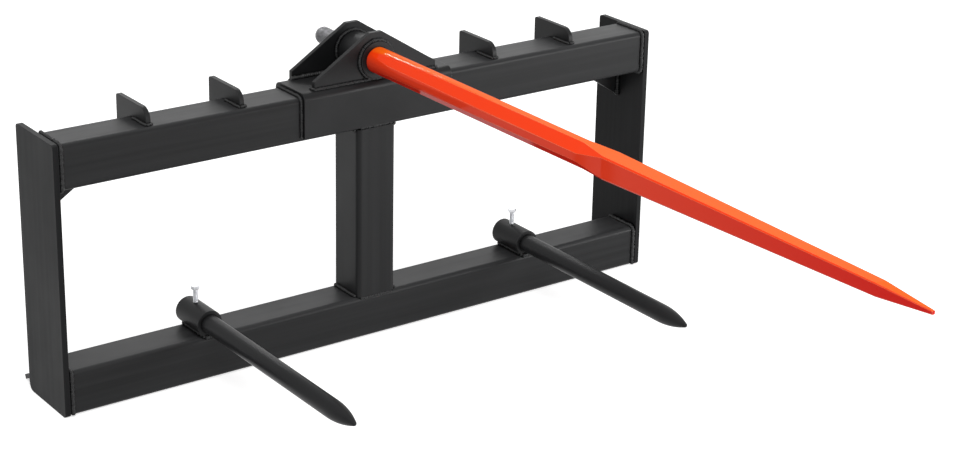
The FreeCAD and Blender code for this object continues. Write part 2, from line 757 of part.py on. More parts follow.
def export(pieces):
    """Write each sub-part to a STEP file named after its label."""
    os.makedirs("parts", exist_ok=True)
    for piece in pieces:
        piece.Shape.exportStep("parts/%s.step" % piece.Label)
        print("%-20s %12.1f mm3" % (piece.Label, piece.Shape.Volume))


PIECES = build()
check(PIECES)
export(PIECES)
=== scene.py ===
"""Looks of the bale spear: its finishes, weld seams, threads, bolts and studio."""
import logging
import math
import random
from dataclasses import dataclass, field
from enum import Enum
from typing import Callable

import bpy
from mathutils import Matrix, Vector


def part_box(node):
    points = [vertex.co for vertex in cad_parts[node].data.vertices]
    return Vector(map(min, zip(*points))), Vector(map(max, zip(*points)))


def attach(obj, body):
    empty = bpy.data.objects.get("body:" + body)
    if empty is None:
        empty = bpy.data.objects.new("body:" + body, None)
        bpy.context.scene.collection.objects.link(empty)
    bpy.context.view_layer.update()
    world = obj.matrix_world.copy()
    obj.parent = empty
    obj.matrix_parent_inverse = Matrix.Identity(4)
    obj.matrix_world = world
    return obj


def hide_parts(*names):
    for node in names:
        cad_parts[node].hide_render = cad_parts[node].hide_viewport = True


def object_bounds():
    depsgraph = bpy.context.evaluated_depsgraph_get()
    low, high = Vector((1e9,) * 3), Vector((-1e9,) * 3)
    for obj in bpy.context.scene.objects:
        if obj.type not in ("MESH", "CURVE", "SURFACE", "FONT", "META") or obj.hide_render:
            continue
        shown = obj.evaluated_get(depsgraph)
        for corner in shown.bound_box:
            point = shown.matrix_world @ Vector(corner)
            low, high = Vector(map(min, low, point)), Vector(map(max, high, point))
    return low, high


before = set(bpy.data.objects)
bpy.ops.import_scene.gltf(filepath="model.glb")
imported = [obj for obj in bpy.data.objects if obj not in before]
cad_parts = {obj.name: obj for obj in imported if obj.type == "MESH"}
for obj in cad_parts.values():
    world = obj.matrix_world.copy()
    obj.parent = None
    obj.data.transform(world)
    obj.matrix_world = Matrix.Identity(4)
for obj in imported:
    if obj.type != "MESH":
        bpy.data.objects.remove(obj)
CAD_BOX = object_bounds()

LOG = logging.getLogger("bale_spear")
MM = 0.001
SIDES = (("left", -1), ("right", 1))

Colour = tuple[float, float, float]
Station = tuple[Vector, Vector]


# --------------------------------------------------------------------------- bench


def rest_bench() -> None:
    """Leave edit mode and deselect everything."""
    if bpy.context.object is not None and bpy.context.object.mode != "OBJECT":
        bpy.ops.object.mode_set(mode="OBJECT")
    bpy.ops.object.select_all(action="DESELECT")


def pick(piece: bpy.types.Object) -> None:
    """Select one piece alone and make it active.

    Args:
        piece: The object to work on.
    """
    rest_bench()
    piece.select_set(True)
    bpy.context.view_layer.objects.active = piece


def settle(piece: bpy.types.Object) -> bpy.types.Object:
    """Apply a piece's modifiers and place, so that its place is in its mesh.

    Args:
        piece: The mesh object to settle.

    Returns:
        The same object, at the origin.
    """
    pick(piece)
    for modifier in list(piece.modifiers):
        bpy.ops.object.modifier_apply(modifier=modifier.name)
    bpy.ops.object.transform_apply(location=True, rotation=True, scale=True)
    return piece


def choose_faces(piece: bpy.types.Object, test: Callable[[Vector, Vector], bool]) -> None:
    """Enter edit mode with the faces that pass a test selected.

    Args:
        piece: The mesh object.
        test: Takes a face's centre and normal, in the object's own space.
    """
    pick(piece)
    bpy.ops.object.mode_set(mode="EDIT")
    bpy.ops.mesh.select_mode(type="FACE")
    bpy.ops.mesh.select_all(action="DESELECT")
    bpy.ops.object.mode_set(mode="OBJECT")
    for polygon in piece.data.polygons:
        polygon.select = test(polygon.center, polygon.normal)
    bpy.ops.object.mode_set(mode="EDIT")


def join_pieces(name: str, pieces: list[bpy.types.Object]) -> bpy.types.Object:
    """Join several mesh objects into one.

    Args:
        name: The name of the joined piece.
        pieces: The objects to join.

    Returns:
        The joined object.
    """
    pick(pieces[0])
    for piece in pieces:
        piece.select_set(True)
    bpy.ops.object.join()
    joined = bpy.context.object
    joined.name = name
    return joined


# ------------------------------------------------------------------------ finishes


class Graph:
    """Builds one procedural material, node by node."""

    def __init__(self, name: str) -> None:
        """Start an empty material.

        Args:
            name: The material's name.
        """
        self.material = bpy.data.materials.new(name)
        self.material.use_nodes = True
        self.tree = self.material.node_tree
        self.tree.nodes.clear()
        self.output = self.tree.nodes.new("ShaderNodeOutputMaterial")

    def node(self, kind: str, inputs: dict | None = None, **settings) -> bpy.types.Node:
        """Add a node.

        Args:
            kind: The node's type, without "ShaderNode".
            inputs: Values for its sockets, by name or number.
            **settings: Values for its own properties.

        Returns:
            The new node.
        """
        made = self.tree.nodes.new("ShaderNode" + kind)
        for key, setting in settings.items():
            setattr(made, key, setting)
        for key, worth in (inputs or {}).items():
            made.inputs[key].default_value = worth
        return made

    def link(self, source: bpy.types.NodeSocket, target: bpy.types.NodeSocket) -> None:
        """Join an output socket to an input socket."""
        self.tree.links.new(source, target)

    def place(self, scale: tuple[float, float, float]) -> bpy.types.NodeSocket:
        """Return object coordinates stretched by a scale.

        Args:
            scale: The stretch along each axis.

        Returns:
            The vector socket.
        """
        coordinates = self.node("TexCoord")
        mapping = self.node("Mapping", {"Scale": scale})
        self.link(coordinates.outputs["Object"], mapping.inputs["Vector"])
        return mapping.outputs["Vector"]

    def noise(
        self, vector: bpy.types.NodeSocket, scale: float, detail: float = 4.0,
        roughness: float = 0.5,
    ) -> bpy.types.NodeSocket:
        """Return a noise pattern's value.

        Args:
            vector: Where the pattern is read.
            scale: How fine it is.
            detail: How many octaves it has.
            roughness: How strong its fine octaves are.

        Returns:
            The value socket.
        """
        made = self.node(
            "TexNoise", {"Scale": scale, "Detail": detail, "Roughness": roughness})
        self.link(vector, made.inputs["Vector"])
        return made.outputs["Fac"]

    def ramp(
        self, value: bpy.types.NodeSocket, low: float, high: float, start: float, stop: float
    ) -> bpy.types.NodeSocket:
        """Return a value mapped from one range to another and held at its ends.

        Args:
            value: The value to map.
            low: Where the range starts.
            high: Where the range ends.
            start: What low becomes.
            stop: What high becomes.

        Returns:
            The mapped value's socket.
        """
        made = self.node(
            "MapRange",
            {"From Min": low, "From Max": high, "To Min": start, "To Max": stop})
        self.link(value, made.inputs["Value"])
        return made.outputs["Result"]

    def mix(
        self, amount: bpy.types.NodeSocket, first: Colour | bpy.types.NodeSocket,
        second: Colour | bpy.types.NodeSocket,
    ) -> bpy.types.NodeSocket:
        """Return a blend of two colours.

        Args:
            amount: How much of the second colour shows.
            first: A colour or a colour socket.
            second: A colour or a colour socket.

        Returns:
            The blended colour's socket.
        """
        made = self.node("Mix", data_type="RGBA")
        self.link(amount, made.inputs["Factor"])
        for key, colour in (("A", first), ("B", second)):
            socket = [item for item in made.inputs if item.name == key and item.type == "RGBA"][0]
            if isinstance(colour, bpy.types.NodeSocket):
                self.link(colour, socket)
            else:
                socket.default_value = (*colour, 1.0)
        return [item for item in made.outputs if item.type == "RGBA"][0]

    def maths(
        self, operation: str, first: bpy.types.NodeSocket,
        second: bpy.types.NodeSocket | float,
    ) -> bpy.types.NodeSocket:
        """Return the result of a sum on one or two values.

        Args:
            operation: The operation's name, such as MULTIPLY.
            first: The first value.
            second: The second value, a socket or a number.

        Returns:
            The result's socket.
        """
        made = self.node("Math", operation=operation)
        self.link(first, made.inputs[0])
        if isinstance(second, bpy.types.NodeSocket):
            self.link(second, made.inputs[1])
        else:
            made.inputs[1].default_value = second
        return made.outputs[0]

    def soft_edge(self, radius: float) -> bpy.types.NodeSocket:
        """Return normals that round every sharp edge by a radius."""
        made = self.node("Bevel", {"Radius": radius}, samples=6)
        return made.outputs["Normal"]

    def edge_mask(self, rounded: bpy.types.NodeSocket, width: float) -> bpy.types.NodeSocket:
        """Return a value that is one on sharp edges and nought on flat faces.

        Args:
            rounded: The rounded normals.
            width: How far from the edge the mask reaches, as a drop in the cosine.

        Returns:
            The mask's socket.
        """
        geometry = self.node("NewGeometry")
        dot = self.node("VectorMath", operation="DOT_PRODUCT")
        self.link(rounded, dot.inputs[0])
        self.link(geometry.outputs["Normal"], dot.inputs[1])
        return self.ramp(dot.outputs["Value"], 1.0 - width, 1.0, 1.0, 0.0)

    def crevice(self, depth: float) -> bpy.types.NodeSocket:
        """Return a value that is one deep in a corner and nought in the open.

        Args:
            depth: How far from the corner it reaches.

        Returns:
            The value's socket.
        """
        made = self.node("AmbientOcclusion", {"Distance": depth}, samples=8)
        return self.ramp(made.outputs["AO"], 0.30, 0.85, 1.0, 0.0)

    def bump(
        self, height: bpy.types.NodeSocket, strength: float, distance: float,
        normal: bpy.types.NodeSocket | None = None,
    ) -> bpy.types.NodeSocket:
        """Return normals roughened by a height.

        Args:
            height: The height pattern.
            strength: How much of it shows.
            distance: The height's depth in metres.
            normal: The normals to start from.

        Returns:
            The normals' socket.
        """
        made = self.node("Bump", {"Strength": strength, "Distance": distance})
        self.link(height, made.inputs["Height"])
        if normal is not None:
            self.link(normal, made.inputs["Normal"])
        return made.outputs["Normal"]

    def finish(self, shader: bpy.types.Node) -> bpy.types.Material:
        """Join the shader to the output.

        Args:
            shader: The last shader node.

        Returns:
            The finished material.
        """
        self.link(shader.outputs[0], self.output.inputs["Surface"])
        return self.material


class Grain(Enum):
    """Which way a finish's faint streaks run, as the pattern's stretch along each axis."""

    ACROSS = (1.6, 85.0, 85.0)
    UPRIGHT = (85.0, 85.0, 1.6)
    LENGTHWISE = (60.0, 1.6, 60.0)
    EVEN = (7.0, 7.0, 7.0)


@dataclass(frozen=True)
class PowderCoat:
    """Satin powder coat over tube and plate, with faint streaks, worn edges with a painted
    highlight, a dusting with painted sheen on upward faces, and painted shade in crevices.
    """

    name: str
    grain: Grain
    dark: Colour = (0.0085, 0.0087, 0.0092)
    light: Colour = (0.0150, 0.0153, 0.0160)
    # Lighter edge colour: partly worn paint, partly a painted highlight on rounded edges.
    edge: Colour = (0.040, 0.041, 0.043)
    gloss: tuple[float, float] = (0.36, 0.50)
    # Lightens upward faces: partly a dusting, partly a painted sheen of light on the tops.
    dust_and_sheen: Colour = (0.034, 0.0345, 0.0355)
    # Painted shade: near-black colour in crevices and corners, reaching as far as the depth
    # below.
    painted_crevice_shade: Colour = (0.0012, 0.0012, 0.0013)
    crevice_shade_depth: float = 7.0 * MM
    shine: float = 0.15
    peel: float = 0.10
    edge_radius: float = 1.3 * MM

    def material(self) -> bpy.types.Material:
        """Make the coat's material.

        Returns:
            The material.
        """
        graph = Graph(self.name)
        streaks = graph.noise(graph.place(self.grain.value), 1.0, 6.0, 0.55)
        even = graph.place((1.0, 1.0, 1.0))
        clouds = graph.noise(even, 5.0, 5.0, 0.6)
        speck = graph.noise(even, 900.0, 2.0, 0.5)
        tone = graph.ramp(streaks, 0.32, 0.70, 0.0, 1.0)
        colour = graph.mix(tone, self.dark, self.light)
        rounded = graph.soft_edge(self.edge_radius)
        # Lighter sharp edges: partly worn paint, partly a painted highlight along the edges.
        worn_edge_highlight = graph.maths(
            "MULTIPLY", graph.edge_mask(rounded, 0.20), graph.ramp(clouds, 0.35, 0.65, 0.35, 1.0))
        colour = graph.mix(worn_edge_highlight, colour, self.edge)
        # Painted sheen on upward faces, partly a dusting.
        colour = graph.mix(self.top_sheen_and_dusting(graph, rounded, tone), colour, self.dust_and_sheen)
        # Painted shade in crevices, driven by ambient occlusion.
        colour = graph.mix(graph.crevice(self.crevice_shade_depth), colour, self.painted_crevice_shade)
        shader = graph.node("BsdfPrincipled", {"IOR": 1.5, "Specular IOR Level": self.shine})
        graph.link(colour, shader.inputs["Base Color"])
        mottle = graph.maths("MULTIPLY", graph.maths("ADD", streaks, clouds), 0.5)
        graph.link(
            graph.ramp(mottle, 0.38, 0.62, *self.gloss), shader.inputs["Roughness"])
        graph.link(
            graph.bump(speck, self.peel, 0.15 * MM, rounded), shader.inputs["Normal"])
        return graph.finish(shader)

    def top_sheen_and_dusting(
        self, graph: Graph, rounded: bpy.types.NodeSocket, streaks: bpy.types.NodeSocket
    ) -> bpy.types.NodeSocket:
        """Return how much upward faces are lightened, none on upright faces: partly a dusting,
        partly a painted sheen of light on the tops.

        Args:
            graph: The material being made.
            rounded: The rounded normals.
            streaks: The streaks that the dusting and painted sheen follow.

        Returns:
            The amount's socket.
        """
        facing = graph.node("SeparateXYZ")
        graph.link(rounded, facing.inputs[0])
        upward = graph.ramp(facing.outputs["Z"], 0.35, 0.95, 0.0, 1.0)
        return graph.maths("MULTIPLY", upward, graph.ramp(streaks, 0.0, 1.0, 0.50, 1.0))


@dataclass(frozen=True)
class GlossPaint:
    """Glossy red-orange paint on the forged spear with a bare tail; painted light makes upward
    faces more orange and painted shade makes the flanks and underside deeper red.
    """

    name: str
    # Painted light and shade by facing: the top and chamfer tones are painted light, the side,
    # tip-side and underside tones are painted shade, deeper towards the tip.
    painted_lit_crown: Colour = (1.0, 0.135, 0.006)
    painted_lit_slope: Colour = (0.98, 0.050, 0.004)
    flank: Colour = (0.74, 0.046, 0.016)
    flank_tip: Colour = (0.62, 0.006, 0.002)
    painted_shade_belly: Colour = (0.50, 0.010, 0.004)
    # Painted highlight colour for the spear's sharp edges.
    ridge: Colour = (1.0, 0.360, 0.190)
    steel: Colour = (0.33, 0.33, 0.34)
    paint_end: float = -74.0 * MM
    square_blend: tuple[float, float] = (-0.66, -0.40)
    point_blend: tuple[float, float] = (-1.30, -0.75)
    coat: float = 0.22
    root_round: float = 4.0 * MM
    edge_round: float = 1.2 * MM

    def material(self) -> bpy.types.Material:
        """Make the paint's material.

        Returns:
            The material.
        """
        graph = Graph(self.name)
        even = graph.place((1.0, 1.0, 1.0))
        forged = graph.noise(even, 60.0, 3.0, 0.5)
        speck = graph.noise(even, 700.0, 2.0, 0.5)
        split = graph.node("SeparateXYZ")
        graph.link(even, split.inputs[0])
        reach = split.outputs["Y"]
        rounded = graph.soft_edge(self.edge_round)
        graph.link(
            graph.ramp(reach, *self.square_blend, self.edge_round, self.root_round),
            rounded.node.inputs["Radius"])
        colour = self.layers(graph, rounded, reach)
        # Painted highlight: sharp edges are tinted lighter orange.
        sharp = graph.ramp(graph.edge_mask(rounded, 0.07), 0.45, 0.95, 0.0, 0.75)
        colour = graph.mix(sharp, colour, self.ridge)
        edge = graph.maths("ADD", reach, graph.ramp(forged, 0.3, 0.7, -0.6 * MM, 0.6 * MM))
        bare = graph.ramp(edge, self.paint_end, self.paint_end + 0.5 * MM, 0.0, 1.0)
        colour = graph.mix(bare, colour, self.steel)
        shader = graph.node("BsdfPrincipled", {
            "IOR": 1.5, "Specular IOR Level": 0.0, "Coat Weight": self.coat,
            "Coat Roughness": 0.07, "Coat IOR": 1.5})
        graph.link(colour, shader.inputs["Base Color"])
        graph.link(bare, shader.inputs["Metallic"])
        graph.link(graph.ramp(forged, 0.3, 0.7, 0.20, 0.30), shader.inputs["Roughness"])
        relief = graph.bump(forged, 0.20, 0.4 * MM, rounded)
        graph.link(graph.bump(speck, 0.05, 0.1 * MM, relief), shader.inputs["Normal"])
        return graph.finish(shader)

    def layers(
        self, graph: Graph, rounded: bpy.types.NodeSocket, reach: bpy.types.NodeSocket
    ) -> bpy.types.NodeSocket:
        """Blend four tones by how far the surface faces up: painted light on the top and
        chamfers, painted shade on the flanks and underside.

        Args:
            graph: The material being made.
            rounded: The rounded normals.
            reach: The place along the spear.

        Returns:
            The colour's socket.
        """
        flank = graph.mix(
            graph.ramp(reach, *self.point_blend, 0.0, 1.0), self.flank_tip, self.flank)
        facing = graph.node("SeparateXYZ")
        graph.link(rounded, facing.inputs[0])
        upward = facing.outputs["Z"]
        blotch = graph.noise(graph.place((20.0, 3.0, 20.0)), 1.0, 4.0, 0.55)
        wander = graph.maths("ADD", upward, graph.ramp(blotch, 0.3, 0.7, -0.06, 0.06))
        # Painted shade on the underside and flanks, painted light on the chamfers and top.
        colour = graph.mix(graph.ramp(wander, -0.80, -0.10, 0.0, 1.0), self.painted_shade_belly, flank)
        colour = graph.mix(graph.ramp(wander, 0.10, 0.66, 0.0, 1.0), colour, self.painted_lit_slope)
        return graph.mix(graph.ramp(wander, 0.78, 0.98, 0.0, 1.0), colour, self.painted_lit_crown)


@dataclass(frozen=True)
class BareMetal:
    """Unpainted metal: zinc plate or dull steel."""

    name: str
    bright: Colour
    dull: Colour
    gloss: tuple[float, float] = (0.25, 0.45)

    def material(self) -> bpy.types.Material:
        """Make the metal's material.

        Returns:
            The material.
        """
        graph = Graph(self.name)
        even = graph.place((1.0, 1.0, 1.0))
        clouds = graph.noise(even, 120.0, 5.0, 0.6)
        speck = graph.noise(even, 1800.0, 2.0, 0.5)
        colour = graph.mix(graph.ramp(clouds, 0.35, 0.65, 0.0, 1.0), self.bright, self.dull)
        shader = graph.node("BsdfPrincipled", {"Metallic": 1.0})
        graph.link(colour, shader.inputs["Base Color"])
        graph.link(graph.ramp(clouds, 0.3, 0.7, *self.gloss), shader.inputs["Roughness"])
        rounded = graph.soft_edge(0.4 * MM)
        graph.link(graph.bump(speck, 0.10, 0.1 * MM, rounded), shader.inputs["Normal"])
        return graph.finish(shader)


@dataclass
class PaintShop:
    """Holds one material of each finish."""

    across: PowderCoat = PowderCoat("coat_across", Grain.ACROSS)
    upright: PowderCoat = PowderCoat("coat_upright", Grain.UPRIGHT)
    end: PowderCoat = PowderCoat("coat_end", Grain.UPRIGHT, shine=0.06)
    plate: PowderCoat = PowderCoat(
        "coat_plate", Grain.EVEN, dust_and_sheen=(0.012, 0.0122, 0.0127))
    weld: PowderCoat = PowderCoat(
        "coat_weld", Grain.EVEN, dust_and_sheen=(0.024, 0.0243, 0.0250), peel=0.3, shine=0.3)
    rod: PowderCoat = PowderCoat(
        "coat_rod", Grain.LENGTHWISE, dark=(0.0125, 0.0128, 0.0135),
        light=(0.020, 0.0203, 0.0212), dust_and_sheen=(0.018, 0.0183, 0.0190), gloss=(0.34, 0.44),
        shine=0.12)
    spear: GlossPaint = GlossPaint("spear_paint")
    zinc: BareMetal = BareMetal("zinc_plate", (0.80, 0.81, 0.83), (0.62, 0.63, 0.66))
    steel: BareMetal = BareMetal("dull_steel", (0.34, 0.34, 0.35), (0.20, 0.20, 0.205))
    made: dict[str, bpy.types.Material] = field(default_factory=dict)

    def coat(self, piece: bpy.types.Object, finish: PowderCoat | GlossPaint | BareMetal) -> None:
        """Give a piece one finish all over.

        Args:
            piece: The mesh object.
            finish: The finish it gets.
        """
        if finish.name not in self.made:
            self.made[finish.name] = finish.material()
        if not piece.material_slots:
            piece.data.materials.append(None)
        for slot in piece.material_slots:
            slot.material = self.made[finish.name]
        LOG.info("coated %s with %s", piece.name, finish.name)


# --------------------------------------------------------------------- weld seams


def follow(points: list[Vector], pitch: float) -> list[Station]:
    """List evenly spaced stations along a line of straight runs.

    Args:
        points: The line's corners in order.
        pitch: The spacing of the stations.

    Returns:
        The stations, each a place and the direction of travel.
    """
    stations = []
    for start, stop in zip(points, points[1:]):
        run = stop - start
        count = max(1, round(run.length / pitch))
        along = run.normalized()
        stations += [(start + run * (step / count), along) for step in range(count)]
    return stations + [(points[-1], stations[-1][1])]


def arc(
    x: float, centre: tuple[float, float], radius: float, start: float, stop: float
) -> list[Vector]:
    """List points on an arc that lies square to X.

    Args:
        x: Where the arc lies along X.
        centre: The arc's centre as Y and Z.
        radius: Its radius.
        start: Its first angle in degrees, from +Y towards +Z.
        stop: Its last angle.

    Returns:
        Four points along the arc.
    """
    points = []
    for step in range(4):
        angle = math.radians(start + (stop - start) * step / 3)
        points.append(Vector((
            x, centre[0] + radius * math.cos(angle), centre[1] + radius * math.sin(angle))))
    return points


def ring(centre: Vector, radius: float) -> list[Vector]:
    """List points round a circle that faces along Y.

    Args:
        centre: The circle's centre.
        radius: Its radius.

    Returns:
        The points, the last one on the first.
    """
    points = []
    for step in range(37):
        angle = math.radians(step * 10)
        points.append(centre + Vector((math.cos(angle), 0, math.sin(angle))) * radius)
    return points


@dataclass(frozen=True)
class WeldBead:
    """A weld bead: one ripple of solidified metal, repeated along a path."""

    name: str
    leg: float
    lean: float = 0.62
    spacing: float = 0.5
    fullness: float = 0.62
    stray: float = 0.06
    sizes: tuple[float, float] = (0.86, 1.12)
    segments: int = 10
    rings: int = 6

    def ripple(self) -> bpy.types.Object:
        """Model one ripple of the bead, thin along local X.

        Returns:
            The ripple, at the origin.
        """
        rest_bench()
        bpy.ops.mesh.primitive_uv_sphere_add(
            segments=self.segments, ring_count=self.rings,
            radius=self.leg * self.fullness)
        ripple = bpy.context.object
        bpy.ops.object.mode_set(mode="EDIT")
        bpy.ops.mesh.select_all(action="SELECT")
        bpy.ops.transform.resize(value=(self.lean, 1.0, 1.0))
        bpy.ops.object.mode_set(mode="OBJECT")
        bpy.ops.object.shade_smooth()
        return ripple

    def lay(self, points: list[Vector]) -> bpy.types.Object:
        """Copy the ripple along a path and join the copies.

        Args:
            points: The corners of the path in order.

        Returns:
            The bead as one mesh.
        """
        dice = random.Random(self.name)
        ripple = self.ripple()
        copies = []
        for place, along in follow(points, self.leg * self.spacing):
            copy = ripple.copy()
            copy.data = ripple.data.copy()
            bpy.context.collection.objects.link(copy)
            turn = along.to_track_quat("X", "Z").to_matrix().to_4x4()
            size = Matrix.Scale(dice.uniform(*self.sizes), 4)
            shift = Vector([dice.uniform(-1, 1) for _ in range(3)]) * self.leg * self.stray
            copy.matrix_world = Matrix.Translation(place + shift) @ turn @ size
            copies.append(copy)
        bpy.data.objects.remove(ripple)
        return settle(join_pieces(self.name, copies))


# ------------------------------------------------------------------ sub-assemblies


def corners(node: str) -> tuple[Vector, Vector]:
    """Return the lowest and highest corner of a CAD node as vectors."""
    low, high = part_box(node)
    return Vector(low), Vector(high)


def fit_out(piece: bpy.types.Object) -> None:
    """Fix a new piece to the part.

    Args:
        piece: The new piece.
    """
    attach(piece, "root")
    LOG.info("made %s", piece.name)


@dataclass
class Assembly:
    """A group of the part's pieces, with what all the groups share."""

    shop: PaintShop
    tube_corner: float = 8.0 * MM

    def bead(self, name: str, leg: float, points: list[Vector]) -> None:
        """Lay one painted weld bead.

        Args:
            name: The bead's name.
            leg: Its leg length.
            points: The corners of its path.
        """
        piece = WeldBead(name, leg).lay(points)
        self.shop.coat(piece, self.shop.weld)
        fit_out(piece)


@dataclass
class WeldedFrame(Assembly):
    """The two level tubes, the post, the end plates, gussets, ribs, lip and flange."""

    across: tuple[str, ...] = ("top_tube", "bottom_tube", "top_lip", "bottom_flange")
    ends: tuple[str, ...] = ("left_end_plate", "right_end_plate")
    plates: tuple[str, ...] = (
        "left_corner_gusset", "right_corner_gusset", "left_outer_rib", "left_inner_rib",
        "right_inner_rib", "right_outer_rib")
    seam_leg: float = 6.0 * MM
    seam_lift: float = 0.8 * MM
    gusset_leg: float = 7.0 * MM
    rib_leg: float = 5.0 * MM
    rib_seam: float = 42.0 * MM
    post_front_drop: float = 2.8 * MM
    post_front_depth: float = 3.0 * MM
    flange_root: float = 8.8 * MM
    stitch: float = 70.0 * MM
    stitches: int = 7

    def dress(self) -> None:
        """Coat the CAD nodes of the frame and lay its seams."""
        for names, finish in (
            (self.across, self.shop.across),
            (self.ends, self.shop.end),
            (("centre_post",), self.shop.upright),
            (self.plates, self.shop.plate),
        ):
            for name in names:
                self.shop.coat(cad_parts[name], finish)
        for side, sign in SIDES:
            self.close_tube_ends(side, sign)
            self.seat_gusset(side, sign)
            for place in ("outer", "inner"):
                self.seat_rib("%s_%s_rib" % (side, place))
        self.join_post()
        self.stitch_back()

    def round_front(
        self, node: str, x: float, lift: float, underside: bool
    ) -> list[Vector]:
        """List a path over a level tube's top and down its front.

        Args:
            node: The tube.
            x: Where the path lies along X.
            lift: How far it stays off the tube.
            underside: Whether it goes on under the tube.

        Returns:
            The path's corners, from the back of the top.
        """
        low, high = corners(node)
        bend = self.tube_corner
        upper = (low.y + bend, high.z - bend)
        lower = (low.y + bend, low.z + bend)
        path = [Vector((x, high.y - bend, high.z + lift))]
        path += arc(x, upper, bend + lift, 90, 180)
        if not underside:
            return path + [Vector((x, low.y - lift, low.z + bend / 2))]
        path += arc(x, lower, bend + lift, 180, 270)
        return path + [Vector((x, high.y - bend, low.z - lift))]

    def close_tube_ends(self, side: str, sign: int) -> None:
        """Weld one end plate to both tubes.

        Args:
            side: Which plate, left or right.
            sign: Its side of the part along X.
        """
        low, high = corners(side + "_end_plate")
        inner = high.x if sign < 0 else low.x
        x = inner - sign * self.seam_leg * 0.8
        for node, underside in (("top_tube", True), ("bottom_tube", False)):
            path = self.round_front(node, x, self.seam_lift, underside)
            self.bead("%s_%s_end_weld" % (side, node), self.seam_leg, path)

    def seat_gusset(self, side: str, sign: int) -> None:
        """Weld one gusset to its end plate and to the top tube.

        Args:
            side: Which gusset, left or right.
            sign: Its side of the part along X.
        """
        low, high = corners(side + "_corner_gusset")
        y = low.y - self.gusset_leg * 0.2
        outer = (low.x if sign < 0 else high.x) - sign * self.gusset_leg * 0.35
        near = (high.x if sign < 0 else low.x) + sign * self.gusset_leg
        top = high.z - self.gusset_leg * 0.35
        foot = low.z + self.gusset_leg * 0.4
        path = [Vector((outer, y, foot)), Vector((outer, y, top)), Vector((near, y, top))]
        self.bead(side + "_gusset_weld", self.gusset_leg, path)

    def seat_rib(self, node: str) -> None:
        """Weld the front part of one rib's foot to the top tube, round its front end.

        Args:
            node: The rib.
        """
        low, high = corners(node)
        top = corners("top_tube")[1].z + self.rib_leg * 0.25
        reach = self.rib_leg * 0.3
        back, front = low.y + self.rib_seam, low.y - reach
        path = [
            Vector((low.x - reach, back, top)), Vector((low.x - reach, low.y, top)),
            Vector((low.x + reach, front, top)), Vector((high.x - reach, front, top)),
            Vector((high.x + reach, low.y, top)), Vector((high.x + reach, back, top))]
        self.bead(node + "_weld", self.rib_leg, path)

    def join_post(self) -> None:
        """Weld the post to both tubes at its sides and along its flush front."""
        low, high = corners("centre_post")
        reach = self.seam_leg * 0.3
        for name, z, away in (("post_head", high.z, -1), ("post_foot", low.z, 1)):
            side_z = z + away * reach
            front_z = z - away * self.post_front_drop
            front_y = low.y + self.post_front_depth
            for edge, x in (("left", low.x - reach), ("right", high.x + reach)):
                path = [
                    Vector((x, high.y - self.tube_corner, side_z)),
                    Vector((x, low.y + self.tube_corner, side_z))]
                self.bead("%s_%s_weld" % (name, edge), self.seam_leg, path)
            path = [
                Vector((low.x + self.tube_corner, front_y, front_z)),
                Vector((high.x - self.tube_corner, front_y, front_z))]
            self.bead(name + "_front_weld", self.seam_leg, path)

    def stitch_back(self) -> None:
        """Lay short stitches over the hook lip and under the lower flange."""
        lip, flange = corners("top_lip"), corners("bottom_flange")
        reach = self.seam_leg * 0.25
        under = flange[1].z - self.flange_root
        for name, z in (("lip", lip[1].z + reach), ("flange", under - reach)):
            span = flange[1].x - flange[0].x
            for number in range(self.stitches):
                middle = flange[0].x + span * (number + 0.5) / self.stitches
                if name == "lip" and abs(middle) < self.stitch:
                    continue
                path = [
                    Vector((middle - self.stitch / 2, reach, z)),
                    Vector((middle + self.stitch / 2, reach, z))]
                self.bead("%s_stitch_%d" % (name, number + 1), self.seam_leg, path)


